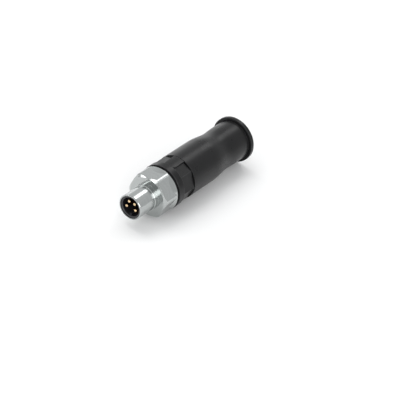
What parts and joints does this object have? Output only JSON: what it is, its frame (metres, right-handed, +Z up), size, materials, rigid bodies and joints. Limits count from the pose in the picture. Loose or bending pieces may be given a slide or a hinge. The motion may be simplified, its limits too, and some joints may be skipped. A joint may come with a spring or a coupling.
{
  "type": "field-attachable circular plug",
  "caption": "Round field-attachable plug: metal coupling sleeve with hexagonal collar round a pin insert, black grip ring and long black rear sleeve with cable clamp.",
  "frame": {"origin": "centre of the front rim of the coupling sleeve, where the plug mates", "axes": "+X runs along the plug from the mating end to the cable end, +Z is up through the raised pad, Y is level"},
  "size_m": [0.0512, 0.0146, 0.0146],
  "materials": {
    "nickel": "satin nickel plating on turned brass",
    "steel": "plain bright steel",
    "seal_rubber": "black moulded rubber",
    "insert_plastic": "black moulded insulating plastic",
    "gold": "gold plated turned brass",
    "black_plastic": "black moulded plastic with a slight sheen",
    "cage_plastic": "grey moulded plastic",
    "ring_plastic": "dark moulded plastic"
  },
  "bodies": {
    "root": {"coupling_seal": "seal_rubber", "socket_shroud": "insert_plastic", "contact_carrier": "insert_plastic", "terminal_block": "insert_plastic", "contact_pin_1": "gold", "contact_pin_2": "gold", "contact_pin_3": "gold", "contact_pin_4": "gold", "terminal_screw_1": "steel", "terminal_screw_2": "steel", "terminal_screw_3": "steel", "terminal_screw_4": "steel", "carrier_clip": "steel", "front_housing": "black_plastic", "housing_seal": "seal_rubber", "clamping_cage": "cage_plastic", "cable_seal": "seal_rubber"},
    "coupling": {"coupling_sleeve": "nickel", "retaining_clip": "steel"},
    "clamp": {"pressure_ring": "ring_plastic"},
    "sleeve": {"rear_sleeve": "black_plastic"}
  },
  "joints": [
    {"name": "coupling_turn", "type": "hinge", "parent": "root", "child": "coupling", "pos_m": [0.0107, 0, 0], "axis": [1, 0, 0], "continuous": true},
    {"name": "clamp_slide", "type": "slide", "parent": "root", "child": "clamp", "axis": [1, 0, 0], "range_m": [0, 0.003]},
    {"name": "sleeve_turn", "type": "hinge", "parent": "clamp", "child": "sleeve", "pos_m": [0.036, 0, 0], "axis": [1, 0, 0], "range_deg": [0, 1090]}
  ],
  "couplings": [
    {"joint": "sleeve_turn", "follows": "clamp_slide", "rad_per_m": 6283.2}
  ]
}
